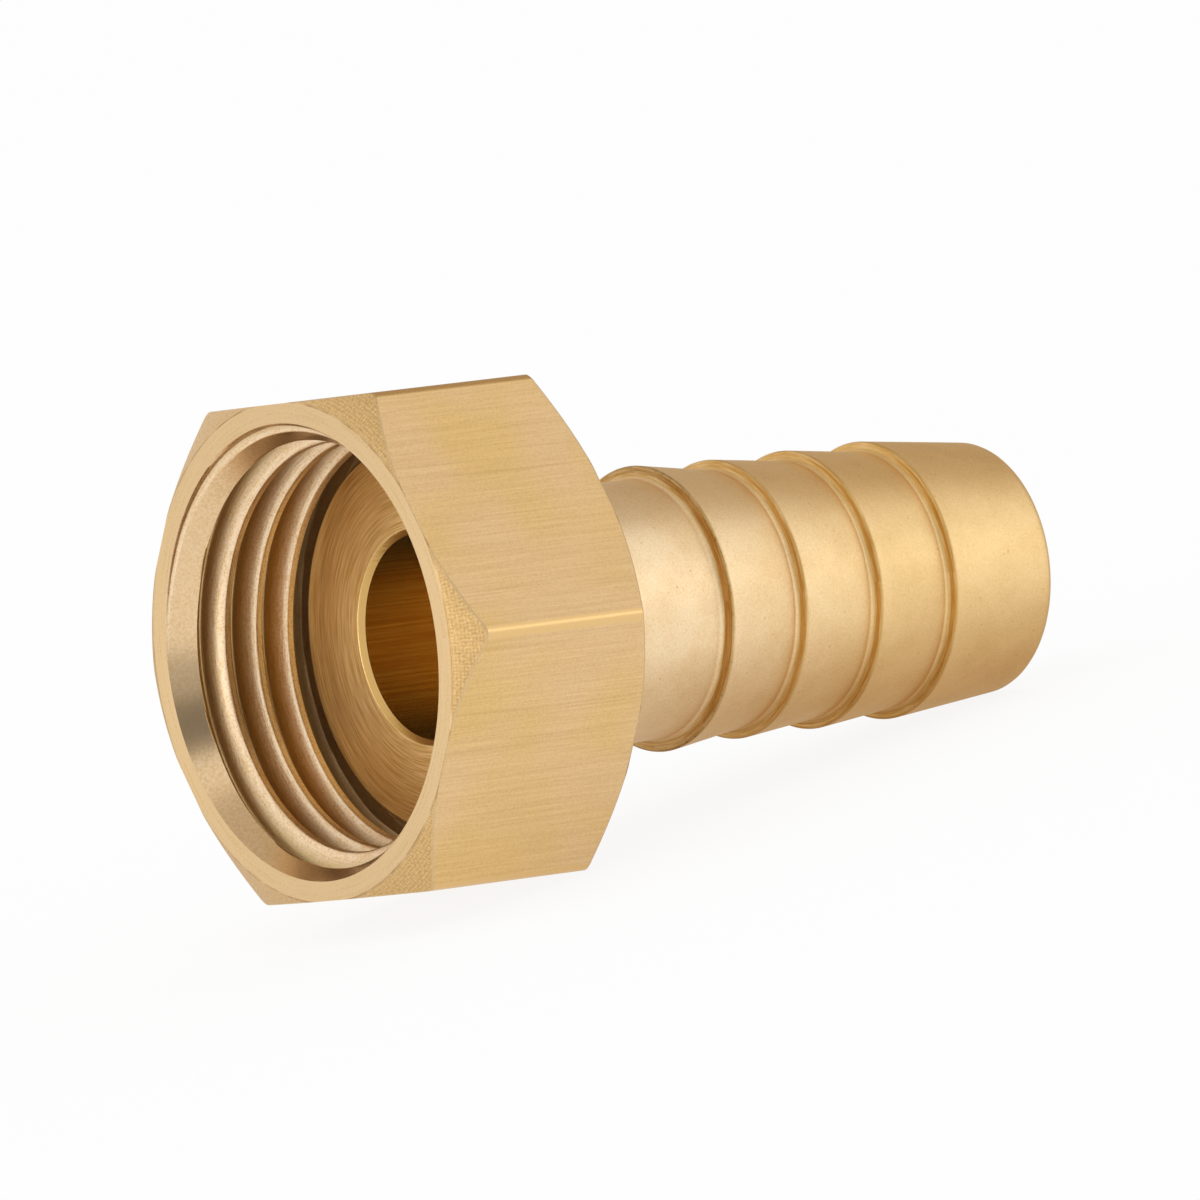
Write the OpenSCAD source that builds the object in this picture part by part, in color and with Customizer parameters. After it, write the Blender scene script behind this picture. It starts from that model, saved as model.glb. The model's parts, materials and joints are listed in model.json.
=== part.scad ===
// Hose connector with a swivelling union nut, in brass.
// The nut has a G 1/2 internal thread and holds the tail by its flange.
// The turns of the thread are rings here, with the pitch, flanks and depth of the thread.
// The tail carries four barbs for a hose of 1/2 inch, 13 mm.
// Both pieces are turned about one axis, which lies as the loose connector comes to rest:
// on the nut's rear lower edge and on the lip of the tail.

/* [Union nut] */
// Width across the flats of the hexagon
nut_af = 23; // [22.6:0.1:26]
// Length of the nut, from the mouth to the back
nut_len = 11; // [10:0.1:16]
// Radius of the six long edges
hex_edge_r = 0.6; // [0.2:0.1:1.2]
// Diameter of the flat ring at the mouth, inside the corner chamfer
front_ring_d = 23.2; // [22:0.1:26]
// Diameter of the flat ring at the back, inside the corner chamfer
back_ring_d = 23.2; // [22:0.1:26]
// Angle between the corner chamfers and the end faces
corner_chamfer_deg = 33; // [15:1:45]
// Outer diameter of the countersink at the mouth
mouth_d = 21.2; // [19.6:0.1:22]
// Half angle of the countersink, measured from the axis
mouth_half_deg = 30; // [20:1:45]
// Diameter of the bore at the crests of the thread
thread_minor_d = 18.9; // [18.7:0.1:19.1]
// Distance from the mouth to the middle of the first whole turn
first_turn_at = 1.9; // [1.6:0.1:2.4]
// Diameter of the relief behind the thread
relief_d = 21.3; // [20:0.1:22]
// Length of the relief behind the thread
relief_len = 1.1; // [0.6:0.1:1.8]
// Thickness of the wall behind the flange
back_wall = 2; // [1.2:0.1:3]
// Chamfer on both rims of the hole in the back wall
hole_chamfer = 0.25; // [0.1:0.05:0.5]

/* [Hose tail] */
// Length of the tail, from its sealing face to its lip
tail_len = 32.6; // [30:0.1:60]
// Thickness of the flange
flange_t = 2; // [1.2:0.1:2.6]
// Chamfer on the rims of the flange
flange_chamfer = 0.2; // [0.1:0.05:0.4]
// Diameter of the waterway
bore_d = 9.6; // [6:0.1:10.4]
// Chamfer at both ends of the waterway
bore_chamfer = 0.25; // [0.1:0.05:0.4]
// Diameter of the plain shank before the barbs
shank_d = 12.2; // [11.8:0.1:12.8]
// Diameter of the first barb, where the hose stops
first_barb_d = 13.4; // [13.2:0.1:15]
// Diameter of the other barbs
barb_d = 13.1; // [12.8:0.1:15]
// Diameter at the foot of each barb
barb_root_d = 12.2; // [11.8:0.1:12.6]
// Distance from the sealing face to the first barb
first_barb_at = 12.9; // [9:0.1:16]
// Distance from barb to barb
barb_pitch = 4.42; // [3:0.02:4.6]
// Number of barbs
barb_count = 4; // [2:1:4]
// Radius at the foot of a barb
barb_foot_r = 0.35; // [0.05:0.05:0.4]
// Radius on the crest of a barb
barb_crest_r = 0.15; // [0.05:0.05:0.3]
// Diameter of the lip, where the hose is pushed on
tip_d = 11.9; // [11:0.1:12.4]
// Radius on the rim of the lip
tip_r = 0.6; // [0.2:0.1:0.6]

/* [Fits] */
// Radial clearance of the flange inside the thread
flange_clearance = 0.3; // [0.2:0.05:0.5]
// Radial clearance of the barbs as they pass the hole in the back wall
barb_clearance = 0.15; // [0.1:0.05:0.3]
// Radial running clearance of the neck in the hole
swivel_clearance = 0.05; // [0.02:0.01:0.1]
// Distance that the neck stays inside the back of the nut
neck_inset = 0.3; // [0.1:0.1:0.6]

/* [Hidden] */
brass = [0.85, 0.68, 0.40];
round_fn = 128;
arc_steps = 6;
past = 1;

// Thread of 14 turns to the inch. Its flanks stand at 27.5 degrees to the end faces.
thread_pitch = 25.4 / 14;
thread_flank_deg = 27.5;
thread_depth = 0.6 * thread_pitch;
turn_half = 0.38 * thread_pitch;

// Radii of the nut
half_af = nut_af / 2;
corner_r = half_af / cos(30);
blank_r = corner_r + past;
mouth_r = mouth_d / 2;
minor_r = thread_minor_d / 2;
widest_barb_d = max(first_barb_d, barb_d);
hole_r = widest_barb_d / 2 + barb_clearance;

// Stations along the axis, from the mouth of the nut
mouth_depth = (mouth_r - minor_r) / tan(mouth_half_deg);
seat_at = nut_len - back_wall;
relief_at = seat_at - relief_len;
face_at = seat_at - flange_t;
neck_end = nut_len - neck_inset;
tip_at = face_at + tail_len;
function barb_at(i) = face_at + first_barb_at + i * barb_pitch;

// Radii of the tail
flange_r = minor_r - flange_clearance;
neck_r = hole_r - swivel_clearance;
shank_r = shank_d / 2;
root_r = barb_root_d / 2;
bore_r = bore_d / 2;
lip_r = tip_d / 2;
function crest_r(i) = (i == 0 ? first_barb_d : barb_d) / 2;
function foot_r(i) = i == 0 ? shank_r : root_r;

// Angle at which the axis falls when the connector lies on the nut's rear edge and the lip
rim_r = lip_r - tip_r;
rim_drop = half_af - rim_r;
rim_run = tip_at - tip_r - nut_len;
lie = acos(tip_r / norm([rim_drop, rim_run])) - atan2(rim_run, rim_drop);
lift = half_af * cos(lie) + nut_len * sin(lie);
reach_low = -half_af * sin(lie);
reach_high = rim_r * sin(lie) + (tip_at - tip_r) * cos(lie) + tip_r;
mid_x = (reach_low + reach_high) / 2;

// Turns an upright piece into its place: the axis along +X and falling, a flat underneath
module laid() {
    translate([-mid_x, 0, lift])
        rotate([0, 90 + lie, 0])
            children();
}

// Points of an arc about c, in the (radius, height) plane of a profile
function arc(c, r, from, to) = [
    for (i = [0:arc_steps])
        let (a = from + (to - from) * i / arc_steps)
            [c[0] + r * cos(a), c[1] + r * sin(a)]
];

// Hexagon with a flat at each end of its X axis and rounded corners
module hex_outline() {
    inner_r = corner_r - hex_edge_r / cos(30);
    polygon([
        for (k = [0:5])
            let (a = 30 + k * 60)
                each arc([inner_r * cos(a), inner_r * sin(a)], hex_edge_r, a - 30, a + 30)
    ]);
}

// Turned envelope whose cones cut the corners of the hexagon at both ends
module corner_chamfers() {
    rise = tan(corner_chamfer_deg);
    front_r = front_ring_d / 2;
    back_r = back_ring_d / 2;
    rotate_extrude($fn = round_fn)
        polygon([
            [0, 0],
            [front_r, 0],
            [blank_r, (blank_r - front_r) * rise],
            [blank_r, nut_len - (blank_r - back_r) * rise],
            [back_r, nut_len],
            [0, nut_len]
        ]);
}

// One turn of the thread: a ring that is cut into the bore, with a narrow flat at its root
module thread_turn() {
    lean = tan(thread_flank_deg);
    inner_half = turn_half + past * lean;
    root_half = turn_half - thread_depth * lean;
    rotate_extrude($fn = round_fn)
        polygon([
            [minor_r - past, -inner_half],
            [minor_r + thread_depth, -root_half],
            [minor_r + thread_depth, root_half],
            [minor_r - past, inner_half]
        ]);
}

// Everything that is turned out of the nut: countersink, bore, relief, seat and rear hole.
// The bore ends level with the sealing face, and widens from there to the relief.
module nut_inside() {
    mouth_past_r = mouth_r + past * tan(mouth_half_deg);
    rotate_extrude($fn = round_fn)
        polygon([
            [0, -past],
            [mouth_past_r, -past],
            [minor_r, mouth_depth],
            [minor_r, face_at],
            [relief_d / 2, relief_at],
            [relief_d / 2, seat_at],
            [hole_r + hole_chamfer, seat_at],
            [hole_r, seat_at + hole_chamfer],
            [hole_r, nut_len - hole_chamfer],
            [hole_r + hole_chamfer, nut_len],
            [hole_r + hole_chamfer, nut_len + past],
            [0, nut_len + past]
        ]);
}

module union_nut() {
    color(brass)
        laid()
            difference() {
                intersection() {
                    linear_extrude(nut_len)
                        hex_outline();
                    corner_chamfers();
                }
                nut_inside();
                for (at = [first_turn_at : thread_pitch : face_at + turn_half])
                    translate([0, 0, at])
                        thread_turn();
            }
}

// Outline of one barb: a foot radius, a square shoulder that holds the hose, a small crest radius
function barb(i) =
    let (
        step = crest_r(i) - foot_r(i),
        foot = min(barb_foot_r, step * 0.65),
        crest = min(barb_crest_r, step * 0.35)
    )
    concat(
        arc([foot_r(i) + foot, barb_at(i) - foot], foot, 180, 90),
        arc([crest_r(i) - crest, barb_at(i) + crest], crest, -90, 0)
    );

function flange_points() = [
    [0, face_at],
    [flange_r - flange_chamfer, face_at],
    [flange_r, face_at + flange_chamfer],
    [flange_r, seat_at - flange_chamfer],
    [flange_r - flange_chamfer, seat_at],
    [neck_r, seat_at],
    [neck_r, neck_end],
    [shank_r, neck_end + neck_r - shank_r]
];

module hose_tail() {
    color(brass)
        laid()
            difference() {
                rotate_extrude($fn = round_fn)
                    polygon(concat(
                        flange_points(),
                        [for (i = [0:barb_count - 1]) each barb(i)],
                        arc([lip_r - tip_r, tip_at - tip_r], tip_r, 0, 90),
                        [[0, tip_at]]
                    ));
                waterway();
            }
}

// Straight waterway with a chamfer at each end
module waterway() {
    wide_r = bore_r + bore_chamfer + past;
    rotate_extrude($fn = round_fn)
        polygon([
            [0, face_at - past],
            [wide_r, face_at - past],
            [bore_r, face_at + bore_chamfer],
            [bore_r, tip_at - bore_chamfer],
            [wide_r, tip_at + past],
            [0, tip_at + past]
        ]);
}

union_nut();
hose_tail();
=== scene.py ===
"""Brass hose connector: a threaded union nut that swivels on a barbed hose tail.

The nut is machined from drawn hexagon bar. The tail is blasted matt, with a turned sealing face.
Both are drawn along their own axis, mouth first, and then laid where the connector rests.
"""

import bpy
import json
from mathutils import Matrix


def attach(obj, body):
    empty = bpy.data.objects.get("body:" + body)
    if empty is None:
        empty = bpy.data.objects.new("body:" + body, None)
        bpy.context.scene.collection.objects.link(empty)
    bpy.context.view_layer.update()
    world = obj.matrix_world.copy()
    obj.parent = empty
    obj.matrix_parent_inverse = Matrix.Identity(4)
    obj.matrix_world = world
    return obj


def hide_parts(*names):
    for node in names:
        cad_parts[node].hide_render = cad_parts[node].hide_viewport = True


bl_info = {
    "name": "Threaded Hose Connector",
    "version": (1, 0, 0),
    "blender": (4, 5, 0),
    "location": "View3D > Sidebar > Hose connector",
    "description": "Builds a brass union nut and hose tail with their machined finishes",
    "category": "Object",
}

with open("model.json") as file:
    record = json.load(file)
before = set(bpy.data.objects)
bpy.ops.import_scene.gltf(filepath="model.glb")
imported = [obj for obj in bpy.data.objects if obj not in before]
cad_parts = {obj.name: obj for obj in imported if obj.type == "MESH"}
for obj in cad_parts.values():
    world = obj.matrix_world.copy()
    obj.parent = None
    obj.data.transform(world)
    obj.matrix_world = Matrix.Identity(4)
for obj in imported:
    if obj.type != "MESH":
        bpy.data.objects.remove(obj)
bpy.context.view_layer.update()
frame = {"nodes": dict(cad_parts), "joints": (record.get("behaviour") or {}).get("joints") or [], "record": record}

import json
import math

import bmesh
import bpy
from bpy.props import FloatProperty, FloatVectorProperty, IntProperty, PointerProperty
from mathutils import Matrix, Vector

MM = 0.001
# Vertices closer than this are one vertex
MERGE = 0.5e-6
# Faces that meet at more than this keep a sharp edge
SHARP = math.radians(35)

# Kinds of node and socket that most trees use
MATH, VECTOR_MATH, MAP_RANGE = "ShaderNodeMath", "ShaderNodeVectorMath", "ShaderNodeMapRange"
MIX, NOISE = "ShaderNodeMix", "ShaderNodeTexNoise"
GEOMETRY, MATERIAL = "NodeSocketGeometry", "NodeSocketMaterial"
NUMBER, COUNT = "NodeSocketFloat", "NodeSocketInt"


# What the frame gives

MOUNTS = {m["name"]: m for m in frame["record"]["mounts"]}
SWIVEL = next(j for j in frame["joints"] if j["name"] == "swivel")
AXIS = Vector(SWIVEL["axis"]).normalized()


def stations(node):
    """Lowest and highest place of a node along the axis, from the swivel, in metres."""
    pivot = Vector(SWIVEL["pos_m"])
    places = [(v.co - pivot).dot(AXIS) for v in frame["nodes"][node].data.vertices]
    return min(places), max(places)


NUT_SPAN = stations("union_nut")
TAIL_SPAN = stations("hose_tail")
NUT_LEN = NUT_SPAN[1] - NUT_SPAN[0]
FACE_AT = TAIL_SPAN[0] - NUT_SPAN[0]
TIP_AT = TAIL_SPAN[1] - NUT_SPAN[0]


def lay_matrix():
    """Takes a point, given along the axis from the nut's mouth, sideways and up, to its place."""
    side = Vector((0, 1, 0))
    up = AXIS.cross(side)
    turn = Matrix((AXIS, side, up)).transposed().to_4x4()
    mouth = Vector(SWIVEL["pos_m"]) + AXIS * NUT_SPAN[0]
    return Matrix.Translation(mouth) @ turn


LAY = lay_matrix()


# Sizes and colours that a user would change


def length(name, text, mm):
    """A length property, given in millimetres."""
    return FloatProperty(name=name, description=text, default=mm * MM, unit="LENGTH", precision=5)


def angle(name, text, degrees):
    """An angle property, given in degrees."""
    return FloatProperty(name=name, description=text, default=math.radians(degrees), subtype="ANGLE")


def linear(hex_code):
    """Turns an sRGB hex colour into linear values."""
    parts = [int(hex_code[i:i + 2], 16) / 255 for i in (1, 3, 5)]
    return tuple(p / 12.92 if p <= 0.04045 else ((p + 0.055) / 1.055) ** 2.4 for p in parts)


def colour(name, text, hex_code):
    """A colour property, given as an sRGB hex value."""
    return FloatVectorProperty(
        name=name, description=text, default=linear(hex_code), subtype="COLOR", min=0, max=1)


class HoseNutSizes(bpy.types.PropertyGroup):
    """Sizes of the union nut outside its thread"""

    across_flats: length("Across flats", "Width across the flats of the hexagon", 23)
    edge_r: length("Edge radius", "Radius of the six long edges, as the bar is drawn", 0.6)
    front_ring_d: length("Front ring", "Diameter of the flat ring at the mouth", 23.2)
    back_ring_d: length("Back ring", "Diameter of the flat ring at the back", 23.2)
    corner_chamfer: angle("Corner chamfer", "Angle between the corner chamfers and the end faces", 33)
    relief_d: length("Relief", "Diameter of the relief behind the thread", 21.3)
    relief_at: length("Relief start", "Distance from the mouth to the relief", 7.9)
    seat_at: length("Seat", "Distance from the mouth to the wall behind the flange", 9)
    hole_d: length("Rear hole", "Diameter of the hole that the tail passes", 13.7)
    hole_chamfer: length("Hole chamfer", "Chamfer on both rims of the rear hole", 0.25)
    edge_break: length("Edge break", "Width that the turned edges are broken", 0.06)
    flat_steps: IntProperty(name="Flat steps", description="Divisions of each flat", default=28)
    corner_steps: IntProperty(name="Corner steps", description="Divisions of each long edge", default=8)


class HoseThreadSizes(bpy.types.PropertyGroup):
    """Sizes of the G 1/2 thread and the countersink before it"""

    pitch: length("Pitch", "Distance between turns, 14 to the inch", 25.4 / 14)
    crest_d: length("Crest diameter", "Bore at the crests", 2 * MOUNTS["thread"]["dims"]["r_mm"])
    root_d: length("Root diameter", "Diameter at the roots", 21.12)
    flank: angle("Flank angle", "Half of the 55 degree thread angle", 27.5)
    crest_share: FloatProperty(
        name="Crest share", description="Share of the pitch that the flat crest takes", default=0.2)
    start: length("Start", "Station of the first groove at the side facing +Y", -0.06)
    root_round: length("Root rounding", "Blend between the flanks and the root", 0.15)
    crest_round: length("Crest rounding", "Blend on the edge of each crest that faces the mouth", 0.35)
    mouth_d: length("Mouth", "Outer diameter of the countersink", 21.2)
    mouth_half: angle("Countersink", "Half angle of the countersink, from the axis", 30)
    segments: IntProperty(name="Segments", description="Divisions round the bore", default=360)
    pitch_steps: IntProperty(name="Pitch steps", description="Divisions along each pitch", default=34)


class HoseTailSizes(bpy.types.PropertyGroup):
    """Sizes of the hose tail"""

    flange_d: length("Flange", "Diameter of the flange", 18.3)
    flange_t: length("Flange thickness", "Thickness of the flange", 2)
    flange_chamfer: length("Flange chamfer", "Chamfer on the rims of the flange", 0.2)
    bore_d: length("Waterway", "Diameter of the waterway", 2 * MOUNTS["waterway"]["dims"]["r_mm"])
    bore_chamfer: length("Waterway chamfer", "Chamfer at both ends of the waterway", 0.25)
    neck_d: length("Neck", "Diameter that turns in the nut", 13.6)
    neck_len: length("Neck length", "Length of the neck behind the flange", 1.7)
    shank_d: length("Shank", "Diameter before the barbs", 12.2)
    first_barb_d: length("First barb", "Diameter of the barb where the hose stops", 13.4)
    barb_d: length("Barb", "Diameter of the other barbs", 13.1)
    barb_root_d: length("Barb root", "Diameter at the foot of each barb", 12.2)
    first_barb_at: length("First barb place", "Distance from the sealing face to the first barb", 12.9)
    barb_pitch: length("Barb pitch", "Distance from barb to barb", 4.42)
    barb_count: IntProperty(name="Barbs", description="Number of barbs", default=4)
    foot_r: length("Foot radius", "Radius at the foot of a barb", 0.35)
    crest_r: length("Crest radius", "Radius on the crest of a barb", 0.15)
    tip_d: length("Lip", "Diameter of the lip", 11.9)
    tip_r: length("Lip radius", "Radius on the rim of the lip", 0.6)
    edge_break: length("Edge break", "Width that the turned edges are broken", 0.05)
    segments: IntProperty(name="Segments", description="Divisions round the tail", default=288)


class HoseBrassColours(bpy.types.PropertyGroup):
    """Colours of the brass finishes"""

    drawn: colour("Drawn bar", "Flats of the hexagon, as drawn", "#EDC98A")
    drawn_pale: colour("Drawn bar cloud", "Paler clouds on the flats", "#EFCD9B")
    drawn_dark: colour("Drawn bar streak", "Darker streaks along the flats", "#B88D52")
    edge: colour("Burnished edge", "Long edges of the hexagon", "#E6C084")
    turned: colour("Turned face", "End faces", "#D9BA8C")
    turned_dark: colour("Turned groove", "Tool marks on the end faces", "#C9A872")
    rim_line: colour("Rim line", "Fine dark line where the ring meets the corner chamfers", "#9C7440")
    chamfer: colour("Corner chamfer", "Chamfers on the corners", "#C29C66")
    chamfer_pale: colour("Chamfer ripple", "Crests of the ripples on the chamfers", "#E2BF86")
    sunk: colour("Countersink", "Cone at the mouth", "#EACCA2")
    sunk_dark: colour("Countersink grain", "Darker grain of the cone", "#DFBC8C")
    thread: colour("Cut thread", "Fresh brass of the thread", "#F7DDBA")
    thread_dark: colour("Thread line", "Darker lines along the turns", "#E4BE8A")
    # Painted shade in the roots and on the wall behind the thread
    thread_root_shade: colour("Thread root", "Oil that darkens the roots", "#BA9A5E")
    sealing: colour("Sealing face", "Turned face of the flange", "#F2D298")
    sealing_dark: colour("Sealing groove", "Grooves of the sealing face", "#D2AB69")
    blasted: colour("Blasted skin", "Outside of the tail", "#FAD99F")
    # Paler towards the nut
    blasted_pale: colour("Blasted skin by the nut", "Outside of the tail, less handled", "#FDE4BC")
    blasted_dark: colour("Blasted grain", "Small pits of the blasted skin", "#DDB474")
    # Painted shade on the shoulders of the barbs
    barb_shoulder_shade: colour("Barb edge", "Bare, rubbed brass on the shoulders of the barbs", "#C6984C")
    # A real stain, with painted shade darkest on the top and underside of the first barb
    barb_stain_with_shade: colour("Barb stain", "Stain on the first barb", "#7E5A28")
    bore: colour("Waterway", "Wall of the waterway", "#FFECB6")
    bore_dark: colour("Waterway line", "Lines along the wall of the waterway", "#EBC886")


class HoseStage(bpy.types.PropertyGroup):
    """Camera, floor and light"""

    azimuth: angle("Azimuth", "Direction that the camera looks, from +Y towards +X", 35.9799)
    drop: angle("Look down", "Angle that the camera looks down", 7.226)
    roll: angle("Roll", "Angle that the camera leans", 15.7841)
    field: angle("Field of view", "Width of the picture as an angle", 3.1919)
    distance: length("Distance", "Distance from the camera to the middle of the view", 1001.98)
    aim_x: length("Aim X", "Middle of the view, along X", -1.2157)
    aim_y: length("Aim Y", "Middle of the view, along Y", 0.6039)
    aim_z: length("Aim Z", "Middle of the view, along Z", 10.6211)


# Node trees


def add(tree, kind, links=(), **settings):
    """Adds a node, sets its properties, and sets or links its inputs.

    links holds values, sockets or nodes, in the order of the inputs or by their names. A node
    stands for the first output that it has in use, and a colour needs no alpha.
    """
    node = tree.nodes.new(kind)
    for name, value in settings.items():
        setattr(node, name, value)
    pairs = links.items() if isinstance(links, dict) else enumerate(links)
    for key, source in pairs:
        socket = node.inputs[key]
        if isinstance(source, bpy.types.Node):
            source = next(output for output in source.outputs if output.enabled)
        if isinstance(source, bpy.types.NodeSocket):
            tree.links.new(source, socket)
        elif source is not None:
            socket.default_value = (*source, 1.0) if socket.type == "RGBA" else source
    return node


def new_tree(name, sockets):
    """A geometry tree with named inputs and one geometry output. Returns it and its inputs."""
    tree = bpy.data.node_groups.new(name, "GeometryNodeTree")
    for label, kind in sockets:
        tree.interface.new_socket(label, in_out="INPUT", socket_type=kind)
    tree.interface.new_socket("Geometry", in_out="OUTPUT", socket_type=GEOMETRY)
    given = tree.nodes.new("NodeGroupInput").outputs
    return tree, given


def run_tree(obj, tree, values):
    """Runs a geometry tree on an object, and returns the result as a plain mesh."""
    modifier = obj.modifiers.new(tree.name, "NODES")
    modifier.node_group = tree
    for item in tree.interface.items_tree:
        if item.item_type == "SOCKET" and item.in_out == "INPUT" and item.name in values:
            modifier[item.identifier] = values[item.name]
    bpy.context.view_layer.update()
    depsgraph = bpy.context.evaluated_depsgraph_get()
    mesh = bpy.data.meshes.new_from_object(obj.evaluated_get(depsgraph), depsgraph=depsgraph)
    obj.modifiers.remove(modifier)
    return mesh


def end_tree(tree, geometry, choices):
    """Ends a tree in Realize Instances and one Set Material for each (material, selection)."""
    made = add(tree, "GeometryNodeRealizeInstances", [geometry])
    for material, selection in choices:
        made = add(tree, "GeometryNodeSetMaterial", [made, selection, material])
    add(tree, "NodeGroupOutput", [made])


def threaded_bore_tree():
    """A threaded bore with its countersink, on a grid whose rows follow the helix.

    The grid's X is the station and its Y the angle. Rows that leave the bore collapse onto its rims.
    """
    sizes = (
        "Pitch", "Crest radius", "Root radius", "Flank", "Crest share", "Start", "Root rounding",
        "Crest rounding", "Mouth radius", "Mouth half angle", "Bore end", "Relief start", "Relief radius")
    tree, given = new_tree("Threaded bore", [
        ("Geometry", GEOMETRY), *((name, NUMBER) for name in sizes), ("Segments", COUNT),
        ("Pitch steps", COUNT), ("Thread", MATERIAL), ("Countersink", MATERIAL)])
    pitch, crest = given["Pitch"], given["Crest radius"]

    turns = add(tree, MATH, [given["Relief start"], pitch], operation="DIVIDE")
    turns = add(tree, MATH, [turns], operation="CEIL")
    turns = add(tree, MATH, [turns, 1.0], operation="ADD")
    rows = add(tree, MATH, [turns, given["Pitch steps"]], operation="MULTIPLY")
    row_points = add(tree, MATH, [rows, 1.0], operation="ADD")
    round_points = add(tree, MATH, [given["Segments"], 1.0], operation="ADD")
    reach = add(tree, MATH, [turns, pitch], operation="MULTIPLY")
    grid = add(tree, "GeometryNodeMeshGrid", [reach, math.tau, row_points, round_points])

    place = add(tree, "ShaderNodeSeparateXYZ", [add(tree, "GeometryNodeInputPosition")])
    turn = add(tree, MATH, [place.outputs["Y"], math.tau], operation="DIVIDE")
    climb = add(tree, MATH, [turn, pitch], operation="MULTIPLY")
    middle = add(tree, MATH, [given["Relief start"], 0.5], operation="MULTIPLY")
    station = add(tree, MATH, [place.outputs["X"], middle], operation="ADD")
    station = add(tree, MATH, [station, climb], operation="ADD")
    station = add(tree, "ShaderNodeClamp", [station, 0.0, given["Relief start"]])

    # Distance from the middle of the nearest groove
    along = add(tree, MATH, [station, given["Start"]], operation="SUBTRACT")
    along = add(tree, MATH, [along, climb], operation="SUBTRACT")
    along = add(tree, MATH, [along, pitch], operation="DIVIDE")
    nearest = add(tree, MATH, [along], operation="ROUND")
    beside = add(tree, MATH, [along, nearest], operation="SUBTRACT")
    inward = add(tree, MATH, [beside, 0.0], operation="GREATER_THAN")
    off = add(tree, MATH, [beside], operation="ABSOLUTE")
    off = add(tree, MATH, [off, pitch], operation="MULTIPLY")

    # Radius of the thread: flanks, rounded root, and a flat crest whose far edge stays sharp.
    # The rounded edge is blended a tenth of its rounding below the crest, and never goes under it
    open_share = add(tree, MATH, [1.0, given["Crest share"]], operation="SUBTRACT")
    half_open = add(tree, MATH, [open_share, pitch], operation="MULTIPLY")
    half_open = add(tree, MATH, [half_open, 0.5], operation="MULTIPLY")
    inside = add(tree, MATH, [half_open, off], operation="SUBTRACT")
    slope = add(tree, MATH, [given["Flank"]], operation="TANGENT")
    depth = add(tree, MATH, [inside, slope], operation="DIVIDE")
    flank = add(tree, MATH, [crest, depth], operation="ADD")
    cut = add(tree, MATH, [flank, given["Root radius"], given["Root rounding"]], operation="SMOOTH_MIN")
    rounding = add(tree, MATH, [inward, given["Crest rounding"]], operation="MULTIPLY")
    under = add(tree, MATH, [rounding, -0.1, crest], operation="MULTIPLY_ADD")
    eased = add(tree, MATH, [cut, under, rounding], operation="SMOOTH_MAX")
    thread = add(tree, MATH, [eased, crest], operation="MAXIMUM")

    # Countersink at the mouth, and the widening to the relief behind the thread
    cone_slope = add(tree, MATH, [given["Mouth half angle"]], operation="TANGENT")
    cone_drop = add(tree, MATH, [station, cone_slope], operation="MULTIPLY")
    cone = add(tree, MATH, [given["Mouth radius"], cone_drop], operation="SUBTRACT")
    run_out = add(tree, MAP_RANGE, [
        station, given["Bore end"], given["Relief start"], crest, given["Relief radius"]])
    wall = add(tree, MATH, [thread, cone], operation="MAXIMUM")
    radius = add(tree, MATH, [wall, run_out], operation="MAXIMUM")

    sine = add(tree, MATH, [place.outputs["Y"]], operation="SINE")
    cosine = add(tree, MATH, [place.outputs["Y"]], operation="COSINE")
    side = add(tree, MATH, [radius, cosine], operation="MULTIPLY")
    up = add(tree, MATH, [radius, sine], operation="MULTIPLY")
    spot = add(tree, "ShaderNodeCombineXYZ", [station, side, up])

    on_cone = add(tree, MATH, [cone, thread], operation="GREATER_THAN")
    marked = add(tree, "GeometryNodeStoreNamedAttribute", {
        "Geometry": grid, "Name": "countersunk", "Value": on_cone}, data_type="FLOAT", domain="FACE")
    placed = add(tree, "GeometryNodeSetPosition", {"Geometry": marked, "Position": spot})
    merged = add(tree, "GeometryNodeMergeByDistance", {"Geometry": placed, "Distance": MERGE})
    mark = add(tree, "GeometryNodeInputNamedAttribute", ["countersunk"], data_type="FLOAT")
    chosen = add(tree, MATH, [mark, 0.5], operation="GREATER_THAN")
    end_tree(tree, merged, [(given["Thread"], True), (given["Countersink"], chosen)])
    return tree


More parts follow.
